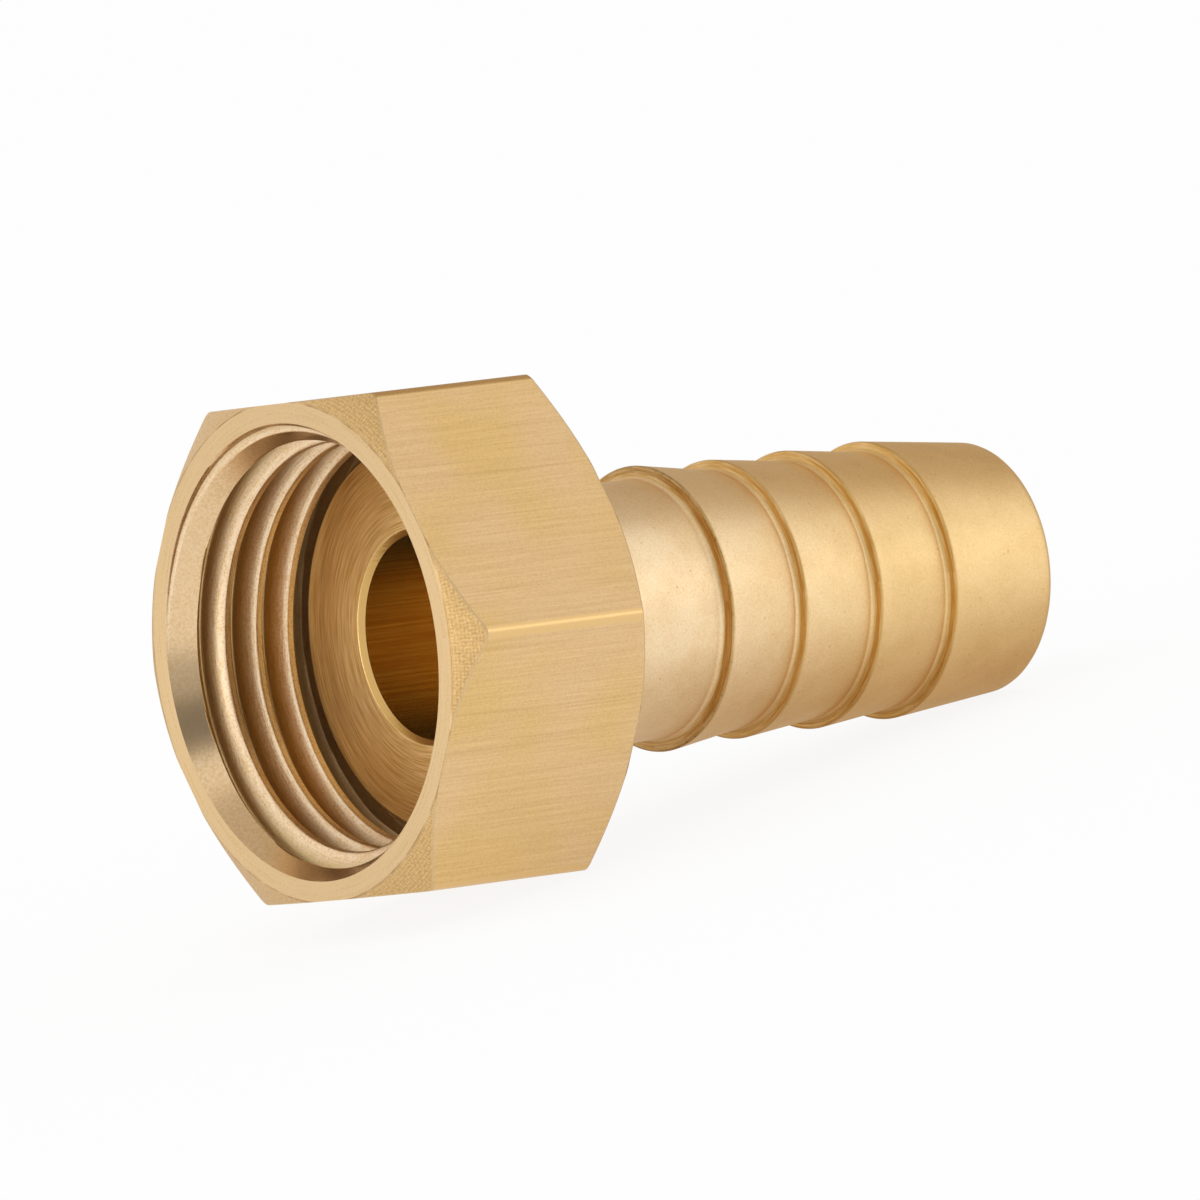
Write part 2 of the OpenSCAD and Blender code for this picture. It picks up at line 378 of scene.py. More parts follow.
def lathe_tree(finishes):
    """Turns a profile about the X axis.

    Each point of the profile has its distance from the axis in Z, and in "finish" the number of
    the material that starts there.
    """
    tree, given = new_tree("Turned piece", [
        ("Geometry", GEOMETRY), ("Segments", COUNT), ("Closed", COUNT),
        *((name, MATERIAL) for name in finishes)])
    size = add(tree, "GeometryNodeAttributeDomainSize", [given["Geometry"]])
    count = size.outputs["Point Count"]
    columns = add(tree, MATH, [count, given["Closed"]], operation="ADD")
    ring = add(tree, MATH, [given["Segments"], 1.0], operation="ADD")
    grid = add(tree, "GeometryNodeMeshGrid", [1.0, 1.0, columns, ring])

    index = add(tree, "GeometryNodeInputIndex")
    column = add(tree, MATH, [index, ring], operation="DIVIDE")
    column = add(tree, MATH, [column], operation="FLOOR")
    column = add(tree, MATH, [column, count], operation="MODULO")
    step = add(tree, MATH, [index, ring], operation="MODULO")
    share = add(tree, MATH, [step, given["Segments"]], operation="DIVIDE")
    turn = add(tree, MATH, [share, math.tau], operation="MULTIPLY")
    position = add(tree, "GeometryNodeInputPosition")
    point = add(tree, "GeometryNodeSampleIndex", {
        "Geometry": given["Geometry"], "Value": position, "Index": column}, data_type="FLOAT_VECTOR")
    place = add(tree, "ShaderNodeSeparateXYZ", [point])
    cosine = add(tree, MATH, [turn], operation="COSINE")
    sine = add(tree, MATH, [turn], operation="SINE")
    side = add(tree, MATH, [place.outputs["Z"], cosine], operation="MULTIPLY")
    up = add(tree, MATH, [place.outputs["Z"], sine], operation="MULTIPLY")
    spot = add(tree, "ShaderNodeCombineXYZ", [place.outputs["X"], side, up])

    strip = add(tree, MATH, [index, given["Segments"]], operation="DIVIDE")
    strip = add(tree, MATH, [strip], operation="FLOOR")
    number = add(tree, "GeometryNodeInputNamedAttribute", ["finish"], data_type="FLOAT")
    number = add(tree, "GeometryNodeSampleIndex", {
        "Geometry": given["Geometry"], "Value": number, "Index": strip}, data_type="FLOAT")
    marked = add(tree, "GeometryNodeStoreNamedAttribute", {
        "Geometry": grid, "Name": "strip finish", "Value": number}, data_type="FLOAT", domain="FACE")
    placed = add(tree, "GeometryNodeSetPosition", {"Geometry": marked, "Position": spot})
    merged = add(tree, "GeometryNodeMergeByDistance", {"Geometry": placed, "Distance": MERGE})
    mark = add(tree, "GeometryNodeInputNamedAttribute", ["strip finish"], data_type="FLOAT")
    choices = []
    for i, name in enumerate(finishes):
        chosen = add(tree, "FunctionNodeCompare", {"A": mark, "B": float(i), "Epsilon": 0.1},
                     data_type="FLOAT", operation="EQUAL")
        choices.append((given[name], chosen))
    end_tree(tree, merged, choices)
    return tree


# Profiles, as (station, radius) points


def arc(centre, radius, start, end, steps=6):
    """(station, radius) points of an arc. Its angles are in degrees, from the station's direction."""
    turns = [math.radians(start + (end - start) * i / steps) for i in range(steps + 1)]
    return [(centre[0] + radius * math.cos(t), centre[1] + radius * math.sin(t)) for t in turns]


def ease(points, width, steps=3):
    """Breaks each corner of a profile by a small curve that starts width away.

    On a short side it starts at 0.4 of that side at most, so that two curves never meet.
    """
    made = []
    last = len(points) - 1
    for i, here in enumerate(points):
        if i in (0, last):
            made.append(here)
            continue
        before, after = Vector(points[i - 1]), Vector(points[i + 1])
        corner = Vector(here)
        back, ahead = before - corner, after - corner
        first = corner + back.normalized() * min(width, 0.4 * back.length)
        second = corner + ahead.normalized() * min(width, 0.4 * ahead.length)
        for k in range(steps + 1):
            t = k / steps
            made.append(tuple(first * (1 - t) ** 2 + corner * 2 * t * (1 - t) + second * t ** 2))
    return made


def new_object(name, mesh):
    """An object at the origin, linked to the scene."""
    obj = bpy.data.objects.new(name, mesh)
    bpy.context.scene.collection.objects.link(obj)
    return obj


def turned_mesh(name, rows, segments, closed, finishes):
    """Turns a profile of (station, radius, finish number) rows into a mesh with its materials."""
    profile = bpy.data.meshes.new(name + "_profile")
    edges = [(i, i + 1) for i in range(len(rows) - 1)]
    profile.from_pydata([(s, 0, r) for s, r, _ in rows], edges, [])
    numbers = profile.attributes.new("finish", "FLOAT", "POINT")
    for item, row in zip(numbers.data, rows):
        item.value = row[2]
    carrier = new_object(name + "_profile", profile)
    tree = lathe_tree(list(finishes))
    mesh = run_tree(carrier, tree, {"Segments": segments, "Closed": int(closed), **finishes})
    bpy.data.objects.remove(carrier)
    # The grid brings an empty slot, which no face uses
    while mesh.materials[0] is None:
        mesh.materials.pop(index=0)
    return mesh


def finish_mesh(piece):
    """Points the faces outwards, lays the piece down, and shades flat faces flat at broken edges."""
    shape = bmesh.new()
    shape.from_mesh(piece.data)
    bmesh.ops.remove_doubles(shape, verts=shape.verts, dist=MERGE)
    bmesh.ops.dissolve_degenerate(shape, edges=shape.edges, dist=MERGE / 10)
    bmesh.ops.recalc_face_normals(shape, faces=shape.faces)
    for face in shape.faces:
        face.smooth = True
    open_edges = sum(1 for e in shape.edges if len(e.link_faces) != 2)
    if open_edges:
        raise RuntimeError(f"{piece.name} has {open_edges} open edges")
    shape.to_mesh(piece.data)
    shape.free()
    piece.data.transform(LAY)
    piece.data.set_sharp_from_angle(angle=SHARP)
    weigh = piece.modifiers.new("Flat faces", "WEIGHTED_NORMAL")
    weigh.weight = 60
    weigh.keep_sharp = True
    for attribute in ("countersunk", "strip finish"):
        stored = piece.data.attributes.get(attribute)
        if stored:
            piece.data.attributes.remove(stored)


# Materials. Their patterns are sized in metres: noise of scale 9000 has grains of some 0.1 mm.

# How deep the grain and the tool lines of a finish go
GRAIN_DEPTH = 0.03 * MM


def new_material(name):
    """An empty material and its node tree."""
    material = bpy.data.materials.new(name)
    material.use_nodes = True
    material.node_tree.nodes.clear()
    return material, material.node_tree


def start_brass(name):
    """An empty material with its axis coordinates: station in X, sideways in Y, up in Z."""
    material, tree = new_material(name)
    coordinates = add(tree, "ShaderNodeTexCoord")
    laid = add(tree, "ShaderNodeMapping", {
        "Vector": coordinates.outputs["Object"], "Location": LAY.translation,
        "Rotation": LAY.to_euler()}, vector_type="TEXTURE")
    return material, tree, laid


def around(tree, laid):
    """Station along the axis, distance from the axis, and angle round it in radians."""
    parts = add(tree, "ShaderNodeSeparateXYZ", [laid])
    across = add(tree, "ShaderNodeCombineXYZ", [0.0, parts.outputs["Y"], parts.outputs["Z"]])
    distance = add(tree, VECTOR_MATH, [across], operation="LENGTH")
    turn = add(tree, MATH, [parts.outputs["Z"], parts.outputs["Y"]], operation="ARCTAN2")
    return parts.outputs["X"], distance, turn


def pattern_place(tree, *parts):
    """Coordinates for a pattern, from pairs of a place and its repeats per metre or per radian."""
    scaled = [add(tree, MATH, [place, repeats], operation="MULTIPLY") for place, repeats in parts]
    return add(tree, "ShaderNodeCombineXYZ", scaled)


def across_turning(tree):
    """Direction across tool lines that run round the axis."""
    coordinates = add(tree, "ShaderNodeTexCoord")
    spoke = add(tree, VECTOR_MATH, [coordinates.outputs["Object"], LAY.translation], operation="SUBTRACT")
    lines = add(tree, VECTOR_MATH, [AXIS, spoke], operation="CROSS_PRODUCT")
    return across_lines(tree, lines)


def across_lines(tree, lines):
    """Direction in the surface across tool lines. The lines spread the sheen along it."""
    lines = add(tree, "ShaderNodeVectorTransform", [lines], convert_from="OBJECT", convert_to="WORLD")
    surface = add(tree, "ShaderNodeNewGeometry")
    return add(tree, VECTOR_MATH, [surface.outputs["Normal"], lines], operation="CROSS_PRODUCT")


def brass(tree, tone, roughness, height, strength, spread=0.0, tangent=None, depth=GRAIN_DEPTH):
    """The metal itself, with the default IOR of a metal and a fine relief that follows height.

    Spread is how far the tool lines widen the sheen, along the tangent.
    """
    relief = add(tree, "ShaderNodeBump", {"Strength": strength, "Distance": depth, "Height": height})
    shader = add(tree, "ShaderNodeBsdfPrincipled", {
        "Base Color": tone, "Metallic": 1.0, "Roughness": roughness, "Normal": relief,
        "Anisotropic": spread, "Tangent": tangent})
    add(tree, "ShaderNodeOutputMaterial", [shader])


def drawn_bar_brass(tones):
    """Drawn hexagon bar: the die leaves fine straight lines, which spread the sheen across the flats."""
    material, tree, laid = start_brass("drawn_bar_brass")
    # Lines 0.08 mm apart and some 5 mm long
    fine_at = add(tree, "ShaderNodeMapping", {"Vector": laid, "Scale": (200, 12000, 12000)})
    fine = add(tree, NOISE, {"Vector": fine_at, "Scale": 1.0, "Detail": 2.0, "Roughness": 0.6})
    # A few deeper die marks, 0.4 mm apart at most
    deep_at = add(tree, "ShaderNodeMapping", {"Vector": laid, "Scale": (60, 2600, 2600)})
    deep = add(tree, NOISE, {"Vector": deep_at, "Scale": 1.0, "Detail": 1.0})
    # Sandy grain of 0.1 mm, and clouds of 5 mm where the bar was handled
    grain = add(tree, NOISE, {"Vector": laid, "Scale": 9000.0, "Detail": 1.0})
    clouds = add(tree, NOISE, {"Vector": laid, "Scale": 190.0, "Detail": 1.0})
    pale = add(tree, MAP_RANGE, [clouds, 0.38, 0.62, 0.0, 1.0])
    tone = add(tree, MIX, {"Factor": pale, "A": tones.drawn, "B": tones.drawn_pale}, data_type="RGBA")
    lined = add(tree, MAP_RANGE, [fine, 0.35, 0.65, 0.2, 0.0])
    marked = add(tree, MAP_RANGE, [deep, 0.6, 0.75, 0.0, 0.14])
    sandy = add(tree, MAP_RANGE, [grain, 0.3, 0.6, 0.16, 0.0])
    dark = add(tree, MATH, [lined, marked], operation="ADD")
    dark = add(tree, MATH, [dark, sandy], operation="ADD")
    tone = add(tree, MIX, {"Factor": dark, "A": tone, "B": tones.drawn_dark}, data_type="RGBA")
    height = add(tree, MATH, [fine, grain], operation="ADD")
    brass(tree, tone, 0.46, height, 0.16, 0.75, across_lines(tree, AXIS))
    return material


def turned_face_brass(tones, ring_radius):
    """End faces off the lathe: fine rings under a satin sheen, and a dark line at the rim."""
    material, tree, laid = start_brass("turned_face_brass")
    _, distance, turn = around(tree, laid)
    # Rings 0.11 mm apart, broken along their length
    rings_at = pattern_place(tree, (distance, 9000.0), (turn, 3.0))
    rings = add(tree, NOISE, {"Vector": rings_at, "Scale": 1.0, "Detail": 2.0})
    grit = add(tree, NOISE, {"Vector": laid, "Scale": 9000.0, "Detail": 2.0})
    marks = add(tree, MATH, [rings, grit], operation="ADD")
    ramp = add(tree, MAP_RANGE, [marks, 0.6, 1.0, 0.0, 1.0])
    tone = add(tree, MIX, {"Factor": ramp, "A": tones.turned_dark, "B": tones.turned}, data_type="RGBA")
    # The rim line is 0.12 mm wide and fades in places
    beside = add(tree, MATH, [distance, ring_radius], operation="SUBTRACT")
    beside = add(tree, MATH, [beside], operation="ABSOLUTE")
    line = add(tree, MAP_RANGE, [beside, 0.02 * MM, 0.06 * MM, 1.0, 0.0])
    worn = add(tree, NOISE, {"Vector": laid, "Scale": 900.0, "Detail": 2.0})
    worn = add(tree, MAP_RANGE, [worn, 0.35, 0.6, 0.1, 0.7])
    line = add(tree, MATH, [line, worn], operation="MULTIPLY")
    tone = add(tree, MIX, {"Factor": line, "A": tone, "B": tones.rim_line}, data_type="RGBA")
    brass(tree, tone, 0.42, marks, 0.2, 0.4, across_turning(tree))
    return material


def rippled_chamfer_brass(tones):
    """Corner chamfers, cut while the corners hammer the tool: a golden hatch over a fine grain."""
    material, tree, laid = start_brass("rippled_chamfer_brass")
    _, distance, turn = around(tree, laid)
    # Turning lines 0.15 mm apart are crossed by ripples of 0.17 mm
    rings = add(tree, MATH, [distance, math.tau / (0.15 * MM)], operation="MULTIPLY")
    rings = add(tree, MATH, [rings], operation="SINE")
    waves = add(tree, MATH, [turn, 460.0], operation="MULTIPLY")
    waves = add(tree, MATH, [waves], operation="SINE")
    hatch = add(tree, MATH, [rings, waves], operation="ADD")
    # Grain of 0.12 mm
    grain_at = pattern_place(tree, (distance, 8500.0), (turn, 100.0))
    grain = add(tree, NOISE, {"Vector": grain_at, "Scale": 1.0, "Detail": 2.0, "Roughness": 0.6})
    ripples = add(tree, MATH, [hatch, 0.06, grain], operation="MULTIPLY_ADD")
    ramp = add(tree, MAP_RANGE, [ripples, 0.34, 0.7, 0.0, 1.0])
    tone = add(tree, MIX, {"Factor": ramp, "A": tones.chamfer, "B": tones.chamfer_pale}, data_type="RGBA")
    brass(tree, tone, 0.4, ripples, 0.35, 0.3, across_turning(tree))
    return material


def burnished_edge_brass(tones):
    """Long edges of the bar: rolled smooth by the die, so they draw a bright line."""
    material, tree, laid = start_brass("burnished_edge_brass")
    grain = add(tree, NOISE, {"Vector": laid, "Scale": 6000.0, "Detail": 2.0})
    roughness = add(tree, MAP_RANGE, [grain, 0.3, 0.7, 0.32, 0.26])
    brass(tree, tones.edge, roughness, grain, 0.06)
    return material


def countersink_brass(tones):
    """Countersink cut by a form tool: smoother than the faces, so it mirrors more, with a sandy grain."""
    material, tree, laid = start_brass("countersink_brass")
    grit = add(tree, NOISE, {"Vector": laid, "Scale": 7000.0, "Detail": 3.0, "Roughness": 0.6})
    ramp = add(tree, MAP_RANGE, [grit, 0.35, 0.6, 0.0, 1.0])
    tone = add(tree, MIX, {"Factor": ramp, "A": tones.sunk_dark, "B": tones.sunk}, data_type="RGBA")
    roughness = add(tree, MAP_RANGE, [grit, 0.3, 0.7, 0.27, 0.21])
    brass(tree, tone, roughness, grit, 0.08)
    return material


def cut_thread_brass(tones, thread):
    """Thread off the cutting tool: pale fresh brass, fine lines along the turns, and painted shade in the roots.
    """
    material, tree, laid = start_brass("cut_thread_brass")
    station, distance, turn = around(tree, laid)
    # Lines 0.07 mm apart, which climb as the thread does
    climb = add(tree, MATH, [turn, thread.pitch / math.tau], operation="MULTIPLY")
    along = add(tree, MATH, [station, climb], operation="SUBTRACT")
    lines_at = pattern_place(tree, (along, 14000.0), (distance, 14000.0), (turn, 9.0))
    lines = add(tree, NOISE, {"Vector": lines_at, "Scale": 1.0, "Detail": 2.0})
    grit = add(tree, NOISE, {"Vector": laid, "Scale": 9000.0, "Detail": 1.0})
    marks = add(tree, MATH, [lines, grit], operation="ADD")
    ramp = add(tree, MAP_RANGE, [marks, 0.75, 1.1, 0.0, 1.0])
    tone = add(tree, MIX, {"Factor": ramp, "A": tones.thread_dark, "B": tones.thread}, data_type="RGBA")
    # The painted root shade thins out where the turns run into the countersink
    # Painted shade: the wall darkens as it goes deeper, into the roots and behind the thread
    depth_shade = add(tree, MAP_RANGE, [
        distance, thread.crest_d / 2 + 0.2 * MM, thread.root_d / 2 - 0.25 * MM, 0.0, 0.8])
    below = add(tree, MATH, [station, math.tan(thread.mouth_half), distance], operation="MULTIPLY_ADD")
    below = add(tree, MATH, [below, thread.mouth_d / 2], operation="SUBTRACT")
    below = add(tree, MAP_RANGE, [below, 0.02 * MM, 0.3 * MM, 0.0, 1.0])
    depth_shade = add(tree, MATH, [depth_shade, below], operation="MULTIPLY")
    tone = add(tree, MIX, {"Factor": depth_shade, "A": tone, "B": tones.thread_root_shade}, data_type="RGBA")
    # Behind the thread the wall is rougher, so it draws no glints
    roughness = add(tree, MAP_RANGE, [station, FACE_AT - 0.5 * MM, FACE_AT, 0.33, 0.7])
    brass(tree, tone, roughness, marks, 0.2, 0.3, across_turning(tree))
    return material


def blasted_brass(tones, sizes):
    """Skin blasted with fine grit: matt and even, with a soft grain and few small pits.

    The barb shoulders carry darker golden lines of painted shade.
    The first crest is stained brown, with painted shade on its top and underside.
    """
    material, tree, laid = start_brass("blasted_brass")
    station, distance, turn = around(tree, laid)
    # The skin is paler towards the nut
    from_nut = add(tree, MAP_RANGE, [station, 17 * MM, 30 * MM, 0.0, 1.0])
    tone = add(tree, MIX, {
        "Factor": from_nut, "A": tones.blasted_pale, "B": tones.blasted}, data_type="RGBA")
    # Grain of 0.1 mm, over clouds of 3 mm
    grain = add(tree, NOISE, {"Vector": laid, "Scale": 10000.0, "Detail": 3.0, "Roughness": 0.6})
    cloud = add(tree, NOISE, {"Vector": laid, "Scale": 350.0, "Detail": 4.0, "Roughness": 0.6})
    pits = add(tree, MAP_RANGE, [grain, 0.25, 0.6, 0.4, 0.0])
    clouded = add(tree, MAP_RANGE, [cloud, 0.4, 0.66, 0.0, 0.28])
    specks = add(tree, "ShaderNodeTexVoronoi", {"Vector": laid, "Scale": 1300.0})
    specks = add(tree, MAP_RANGE, [specks, 0.05, 0.1, 0.5, 0.0])
    dark = add(tree, MATH, [pits, clouded], operation="ADD")
    dark = add(tree, MATH, [dark, specks], operation="ADD")
    tone = add(tree, MIX, {"Factor": dark, "A": tone, "B": tones.blasted_dark}, data_type="RGBA")

    # Which barb is nearest, and how far its shoulder is
    count = add(tree, MATH, [station, FACE_AT + sizes.first_barb_at], operation="SUBTRACT")
    count = add(tree, MATH, [count, sizes.barb_pitch], operation="DIVIDE")
    nearest = add(tree, MATH, [count], operation="ROUND")
    nearest = add(tree, "ShaderNodeClamp", [nearest, 0.0, sizes.barb_count - 1.0])
    beside = add(tree, MATH, [count, nearest], operation="SUBTRACT")
    beside = add(tree, MATH, [beside, sizes.barb_pitch], operation="MULTIPLY")
    away = add(tree, MATH, [beside], operation="ABSOLUTE")
    # Painted shade on the shoulders, broken by fine lines that run round them, 0.06 mm apart
    lines_at = pattern_place(tree, (station, 16000.0), (distance, 16000.0), (turn, 5.0))
    lines = add(tree, NOISE, {"Vector": lines_at, "Scale": 1.0, "Detail": 2.0})
    lines = add(tree, MAP_RANGE, [lines, 0.35, 0.6, 0.5, 0.95])
    painted_shoulder_shade = add(tree, MAP_RANGE, [away, 0.06 * MM, 0.2 * MM, 1.0, 0.0])
    painted_shoulder_shade = add(tree, MATH, [painted_shoulder_shade, lines], operation="MULTIPLY")
    tone = add(tree, MIX, {"Factor": painted_shoulder_shade, "A": tone, "B": tones.barb_shoulder_shade}, data_type="RGBA")
    # The stain lies on the first barb: on its crest, with nicks. Painted shade makes it darkest on the top and
    # underside
    first = add(tree, MATH, [nearest, 0.5], operation="LESS_THAN")
    height = add(tree, "ShaderNodeSeparateXYZ", [laid]).outputs["Z"]
    height = add(tree, MATH, [height], operation="ABSOLUTE")
    # Painted shade, stronger towards the top and underside
    turning_away_shade = add(tree, MAP_RANGE, [height, 2.5 * MM, 6.3 * MM, 0.25, 0.6])
    nicks = add(tree, NOISE, {"Vector": laid, "Scale": 5000.0, "Detail": 3.0, "Roughness": 0.7})
    nicks = add(tree, MAP_RANGE, [nicks, 0.54, 0.64, 0.0, 0.6])
    crest = add(tree, MAP_RANGE, [beside, -0.02 * MM, 0.06 * MM, 0.15, 1.0])
    stain_and_shade = add(tree, MATH, [turning_away_shade, nicks], operation="ADD")
    for share in (painted_shoulder_shade, first, crest):
        stain_and_shade = add(tree, MATH, [stain_and_shade, share], operation="MULTIPLY")
    tone = add(tree, MIX, {"Factor": stain_and_shade, "A": tone, "B": tones.barb_stain_with_shade}, data_type="RGBA")
    roughness = add(tree, MAP_RANGE, [cloud, 0.3, 0.7, 0.4, 0.46])
    brass(tree, tone, roughness, grain, 0.25)
    return material


def faced_brass(tones):
    """Sealing face, faced on the lathe: fine concentric grooves that the tool leaves."""
    material, tree, laid = start_brass("faced_brass")
    _, distance, turn = around(tree, laid)
    # Grooves 0.07 mm apart
    rings_at = pattern_place(tree, (distance, 14000.0), (turn, 2.5))
    rings = add(tree, NOISE, {"Vector": rings_at, "Scale": 1.0, "Detail": 2.0, "Roughness": 0.6})
    ramp = add(tree, MAP_RANGE, [rings, 0.4, 0.6, 0.0, 1.0])
    tone = add(tree, MIX, {"Factor": ramp, "A": tones.sealing_dark, "B": tones.sealing}, data_type="RGBA")
    brass(tree, tone, 0.32, rings, 0.3, 0.5, across_turning(tree))
    return material


def reamed_brass(tones, chamfer):
    """Waterway: fine lines along the wall, and warm because the wall lights itself."""
    material, tree, laid = start_brass("reamed_brass")
    # Lines 0.15 mm apart and some 8 mm long
    lines_at = add(tree, "ShaderNodeMapping", {"Vector": laid, "Scale": (120, 6500, 6500)})
    lines = add(tree, NOISE, {"Vector": lines_at, "Scale": 1.0, "Detail": 3.0, "Roughness": 0.65})
    ramp = add(tree, MAP_RANGE, [lines, 0.42, 0.6, 0.0, 1.0])
    tone = add(tree, MIX, {"Factor": ramp, "A": tones.bore_dark, "B": tones.bore}, data_type="RGBA")
    # The chamfer at the sealing face is as dull as that face
    station = add(tree, "ShaderNodeSeparateXYZ", [laid])
    rim_end = FACE_AT + chamfer
    rim = add(tree, MAP_RANGE, [station, rim_end, rim_end + 0.05 * MM, 1.0, 0.0])
    tone = add(tree, MIX, {"Factor": rim, "A": tone, "B": tones.sealing_dark}, data_type="RGBA")
    brass(tree, tone, 0.26, lines, 0.4, 0.5, across_lines(tree, AXIS), 0.05 * MM)
    return material


# Union nut


def hex_points(sizes):
    """(sideways, up) points round the hexagon, with a flat on top and the long edges rounded."""
    inner = (sizes.across_flats / 2 - sizes.edge_r) / math.cos(math.pi / 6)

    def on_edge(corner, degrees):
        """A point on the rounding of a corner, degrees past its middle."""
        turn = math.radians(corner + degrees)
        corner = math.radians(corner)
        centre = Vector((math.cos(corner), math.sin(corner))) * inner
        return centre + Vector((math.cos(turn), math.sin(turn))) * sizes.edge_r

    made = []
    for corner in range(60, 420, 60):
        made += [on_edge(corner, -30 + 60 * i / sizes.corner_steps) for i in range(sizes.corner_steps + 1)]
        start, end = made[-1], on_edge(corner + 60, -30)
        made += [start.lerp(end, i / sizes.flat_steps) for i in range(1, sizes.flat_steps)]
    return made


def outer_rows(sizes, reach):
    """Profile of the outside where the hexagon is reach from the axis, with its edges broken."""
    rise = math.tan(sizes.corner_chamfer)
    front, back = sizes.front_ring_d / 2, sizes.back_ring_d / 2
    front_cut = max(0.0, reach - front) * rise
    back_cut = max(0.0, reach - back) * rise
    front_rim, back_rim = min(front, reach), min(back, reach)
    # A narrow band of each ring, which zip_ring carries on to the bore
    band = 4 * sizes.edge_break
    return ease([
        (0.0, front_rim - band), (0.0, front_rim), (front_cut, reach),
        (NUT_LEN - back_cut, reach), (NUT_LEN, back_rim), (NUT_LEN, back_rim - band)],
        sizes.edge_break)


def outside_shell(shape, sizes, finishes):
    """Builds the outside of the nut as rows round the hexagon. Returns the front and back loops."""
    columns = []
    for spot in hex_points(sizes):
        heading = spot.normalized()
        rows = outer_rows(sizes, spot.length)
        columns.append([shape.verts.new((s, heading.x * r, heading.y * r)) for s, r in rows])
    # Faces along a column: ring, chamfer, flat, chamfer, ring, each after its broken edge
    row_finish = {4: "chamfer", 8: "drawn", 12: "chamfer"}
    for i, column in enumerate(columns):
        following = columns[(i + 1) % len(columns)]
        for k in range(len(column) - 1):
            face = shape.faces.new((column[k], column[k + 1], following[k + 1], following[k]))
            finish = row_finish.get(k, "turned")
            if finish == "drawn" and i % (sizes.corner_steps + sizes.flat_steps) < sizes.corner_steps:
                finish = "edge"
            face.material_index = finishes[finish]
    return [c[0] for c in columns], [c[-1] for c in columns]


def bearing(vert):
    """Angle of a vertex round the axis, from 0 to a full turn."""
    return math.atan2(vert.co.z, vert.co.y) % math.tau


def zip_ring(shape, inner, outer, material_index):
    """Fills a flat ring between two loops of different counts with triangles."""
    inner, outer = sorted(inner, key=bearing), sorted(outer, key=bearing)
    i = j = 0
    while i < len(inner) or j < len(outer):
        here, there = inner[i % len(inner)], outer[j % len(outer)]
        next_in = bearing(inner[(i + 1) % len(inner)]) + math.tau * ((i + 1) // len(inner))
        next_out = bearing(outer[(j + 1) % len(outer)]) + math.tau * ((j + 1) // len(outer))
        if j >= len(outer) or (i < len(inner) and next_in <= next_out):
            corners = (here, inner[(i + 1) % len(inner)], there)
            i += 1
        else:
            corners = (here, outer[(j + 1) % len(outer)], there)
            j += 1
        face = shape.faces.new(corners)
        face.material_index = material_index


def rim_loop(shape, station):
    """Vertices of the open rim at a station."""
    rim = {v for e in shape.edges if len(e.link_faces) == 1 for v in e.verts}
    return [v for v in rim if abs(v.co.x - station) < 10 * MERGE]


